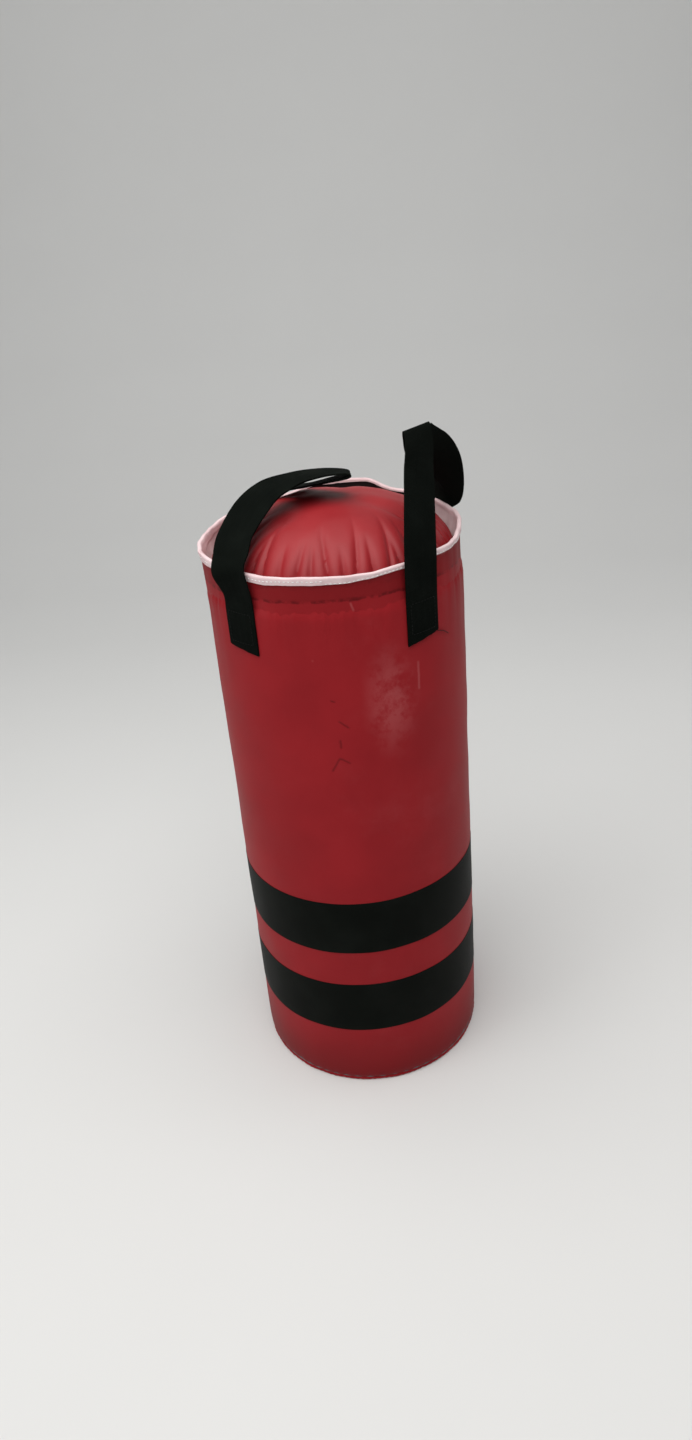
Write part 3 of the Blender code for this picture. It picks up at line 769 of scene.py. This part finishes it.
def strap_stations(side, rear_turn, end_heading, route):
    """(place, width direction, hug) down the middle of one strap; hug is 1 where it lies flat."""
    def tail(turn, heading):
        x, y = STRAP_RADIUS * math.sin(turn), -STRAP_RADIUS * math.cos(turn)
        heights = ((TAIL_FOOT, 1), (SEAM - PINCH_REACH, 1), (SEAM, 0.6), (hinge_line(y), 0))
        return [((x, y, height), heading, 0, hug) for height, hug in heights]

    rows = tail(FRONT_TURN, math.degrees(FRONT_TURN))[:-1]
    for x, y, share, heading, tilt in route:
        height = hinge_line(y * RADIUS) + share * (CREST - HINGE_HEIGHT)
        rows.append(((x * RADIUS, y * RADIUS, height), heading, tilt, 0))
    rows += tail(rear_turn, end_heading)[::-1]
    packed = []
    for spot, heading, tilt, hug in rows:
        turn, dip = math.radians(heading), math.radians(tilt)
        packed.append(Vector((*spot, math.cos(turn) * math.cos(dip), math.sin(turn) * math.cos(dip),
                              math.sin(dip), hug)))
    ends = [2 * packed[0] - packed[1]] + packed + [2 * packed[-1] - packed[-2]]
    run = []
    for a, b, c, d in zip(ends, ends[1:], ends[2:], ends[3:]):
        for step in range(ROUTE_STEPS):
            t = step / ROUTE_STEPS
            run.append((2 * b + (c - a) * t + (2 * a - 5 * b + 4 * c - d) * t ** 2
                        + (3 * b - a - 3 * c + d) * t ** 3) / 2)
    run.append(packed[-1])
    walked = [0.0]
    for before, after in zip(run, run[1:]):
        walked.append(walked[-1] + (Vector(after[:3]) - Vector(before[:3])).length)
    stations = []
    for number, here in enumerate(run):
        near = [row for row, length in enumerate(walked)
                if abs(length - walked[number]) <= FOLD_REACH]
        chord = (Vector(run[near[-1]][:3]) - Vector(run[near[0]][:3])).length
        straightness = chord / (walked[near[-1]] - walked[near[0]])
        square_share = min(1.0, max(0.0, (straightness - FOLDED) / (STRAIGHT - FOLDED)))
        before, after = run[max(0, number - 1)], run[min(len(run) - 1, number + 1)]
        onward = (Vector(after[:3]) - Vector(before[:3])).normalized()
        width = Vector(here[3:6]).normalized()
        square = (width - width.dot(onward) * onward).normalized()
        width = width.lerp(square, square_share).normalized()
        spot = Vector(here[:3])
        if side < 0:
            spot.x, width.x = -spot.x, -width.x
        stations.append((spot, width, min(1.0, max(0.0, here[6]))))
    return stations


webbing = Finish("webbing", 0.85, coordinates="UV", gloss=0.02)
across = webbing.place.add("SeparateXYZ", {}, {"Vector": webbing.place})
along = webbing.place.add("SeparateXYZ", {}, {"Vector": webbing.place}, out=1)
zigzag = (across / CHEVRON).math("PINGPONG", 0.5) * 2.0
rib = ((along / RIB + zigzag * 1.6) * math.pi).math("SINE").math("ABSOLUTE")
fuzz = webbing.place.noise(900.0, detail=4.0)
worn = webbing.place.noise(26.0, detail=3.0)
pale = rib * 0.35 + fuzz * 0.25 + worn.ramp(0.35, 0.75) * 0.40
webbing.set(Base_Color=pale.mix(WEB_BLACK, WEB_SHEEN), Roughness=fuzz * 0.15 + 0.70)
webbing.bump(rib * 0.8 + fuzz * 0.2, 0.00035)
hinges = {joint["child"]: joint for joint in frame["joints"]}
fray = random.Random(11)

for word, side, rear_turn, end_heading, route in STRAP_RUNS:
    stations = strap_stations(side, rear_turn, end_heading, route)
    lengths = [0.0]
    for (here, _, _), (after, _, _) in zip(stations, stations[1:]):
        lengths.append(lengths[-1] + (after - here).length)
    bm = bmesh.new()
    uv = bm.loops.layers.uv.new("weave")
    bmesh.ops.create_grid(bm, x_segments=ACROSS, y_segments=len(stations) - 1, size=0.5)
    for vert in bm.verts:
        share = vert.co.x
        row = round((vert.co.y + 0.5) * (len(stations) - 1))
        spot, width, hug = stations[row]
        for loop in vert.link_loops:
            loop[uv].uv = ((share + 0.5) * WEBBING_WIDTH, lengths[row])
        aside = share * WEBBING_WIDTH
        vert.co = spot + aside * width
        vert.co -= hug * aside ** 2 / (2 * STRAP_RADIUS) * Vector((spot.x, spot.y, 0)).normalized()
        if row in (0, len(stations) - 1):
            slant = FRONT_END_SLANT if row == 0 else REAR_END_SLANT
            vert.co.z += fray.uniform(-0.0004, 0.0003) - slant * (0.5 - share)
    strap = piece(bm, f"{word}_strap", webbing, "black_webbing", None, f"{word}_front_tail",
                  f"{word}_loop", f"{word}_rear_tail")
    thick = strap.modifiers.new("thickness", "SOLIDIFY")
    thick.thickness = WEBBING
    thick.offset = 0
    rounded = strap.modifiers.new("selvedge", "BEVEL")
    rounded.width = 0.0004
    rounded.segments = 2
    rounded.limit_method = "ANGLE"
    joint = hinges[f"{word}_strap"]
    axis = Vector(joint["axis"]).normalized()
    upward = (Vector((0, 0, 1)) - axis.z * axis).normalized()
    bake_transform(strap)

for name, turn in zip(("right_front", "right_rear", "left_front", "left_rear"), STRAP_TURNS):
    half = WEBBING_WIDTH / 2 - BOX_INSET
    low = TAIL_FOOT + BOX_INSET
    corners = ((-half, low), (half, low), (half, low + BOX_HEIGHT), (-half, low + BOX_HEIGHT))
    box_places = []
    for (ax, az), (bx, bz) in zip(corners, corners[1:] + corners[:1]):
        number = round(math.hypot(bx - ax, bz - az) / BOX_STITCH)
        for step in range(number):
            share = (step + 0.5) / number
            aside, height = ax + (bx - ax) * share, az + (bz - az) * share
            here = turn + aside / STRAP_RADIUS
            reach = STRAP_RADIUS + WEBBING / 2 + 0.0001
            direction = ((bx - ax) * math.cos(here), (bx - ax) * math.sin(here), bz - az)
            box_places.append((Vector((reach * math.sin(here), -reach * math.cos(here), height)),
                               direction, 0.0030))
    sew(f"{name}_box", black_thread, "black_thread", box_places, f"{name}_stitching")
    # The patches take the lining's finish, so the one at the rear takes its painted shade too.
    frame["nodes"][f"{name}_patch"].material_slots[0].material = lining_white.material

# A loose end of the red thread, left long where the right front tail's sewing stops.
points = ((0.0972, -0.0868, 0.5405), (0.1002, -0.0850, 0.5388), (0.1034, -0.0812, 0.5372),
          (0.1062, -0.0772, 0.5345), (0.1090, -0.0735, 0.5310))
curve = bpy.data.curves.new("thread_end", "CURVE")
curve.dimensions = "3D"
curve.bevel_depth = 0.0005
curve.bevel_resolution = 2
curve.use_fill_caps = True
spline = curve.splines.new("POLY")
spline.points.add(len(points) - 1)
for point, place in zip(spline.points, points):
    point.co = (*place, 1)
curve.materials.append(red_thread.material)
thread_end = bpy.data.objects.new("thread_end", curve)
bpy.context.scene.collection.objects.link(thread_end)
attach(thread_end, "bag")

# The studio: a pale floor that curves up into the backdrop, soft light from overhead and a
# weaker one from the left, and the camera, high in front of the bag.
FLOOR_PALE = (0.74, 0.74, 0.73)
FLOOR_DEPTH = 1.5
BEND = 1.2
bm = bmesh.new()
bmesh.ops.create_grid(bm, x_segments=1, y_segments=24, size=4)
for vert in bm.verts:
    beyond = max(0.0, vert.co.y - FLOOR_DEPTH)
    bend = min(beyond, BEND * math.pi / 2) / BEND
    rest = max(0.0, beyond - BEND * math.pi / 2)
    if beyond:
        vert.co.y = FLOOR_DEPTH + BEND * math.sin(bend)
        vert.co.z = BEND * (1 - math.cos(bend)) + rest
mesh = bpy.data.meshes.new("floor")
bm.to_mesh(mesh)
bm.free()
mesh.shade_smooth()
floor_paint = Finish("floor_paint", 0.85)
mottle = floor_paint.place.noise(3.0, detail=3.0)
floor_paint.set(Base_Color=mottle.mix(FLOOR_PALE, tuple(part * 0.97 for part in FLOOR_PALE)))
mesh.materials.append(floor_paint.material)
floor = bpy.data.objects.new("floor", mesh)
bpy.context.scene.collection.objects.link(floor)

for name, place, size, power, colour in (
    ("overhead", (-0.20, -0.55, 2.3), 2.2, 52.0, (1.0, 0.99, 0.97)),
    ("left_fill", (-2.2, -1.1, 1.3), 1.4, 9.0, (0.97, 0.99, 1.0)),
    ("right_fill", (2.2, 0.6, 1.2), 1.2, 4.0, (0.98, 0.97, 1.0)),
):
    lamp = bpy.data.lights.new(name, "AREA")
    lamp.size = size
    lamp.energy = power
    lamp.color = colour
    lit = bpy.data.objects.new(name, lamp)
    lit.location = place
    lit.rotation_euler = (Vector((0, 0, 0.35)) - Vector(place)).to_track_quat("-Z", "Y").to_euler()
    bpy.context.scene.collection.objects.link(lit)
world = bpy.data.worlds.new("studio")
world.use_nodes = True
world.node_tree.nodes["Background"].inputs["Color"].default_value = (0.80, 0.81, 0.82, 1)
world.node_tree.nodes["Background"].inputs["Strength"].default_value = 0.36
bpy.context.scene.world = world
bpy.context.scene.view_settings.view_transform = "Standard"

camera_data = bpy.data.cameras.new("camera")
camera_data.sensor_fit = "VERTICAL"
camera_data.sensor_height = 24.0
camera_data.lens = 16.2065
camera = bpy.data.objects.new("camera", camera_data)
rightward = Vector((0.99640726, 0.02606495, -0.08058036))
upward = Vector((0.05985423, 0.4564108, 0.88775371))
turn = Matrix((rightward, upward, rightward.cross(upward))).transposed().to_4x4()
camera.matrix_world = Matrix.Translation((0.06203, -0.94638, 0.88858)) @ turn
bpy.context.scene.collection.objects.link(camera)
bpy.context.scene.camera = camera
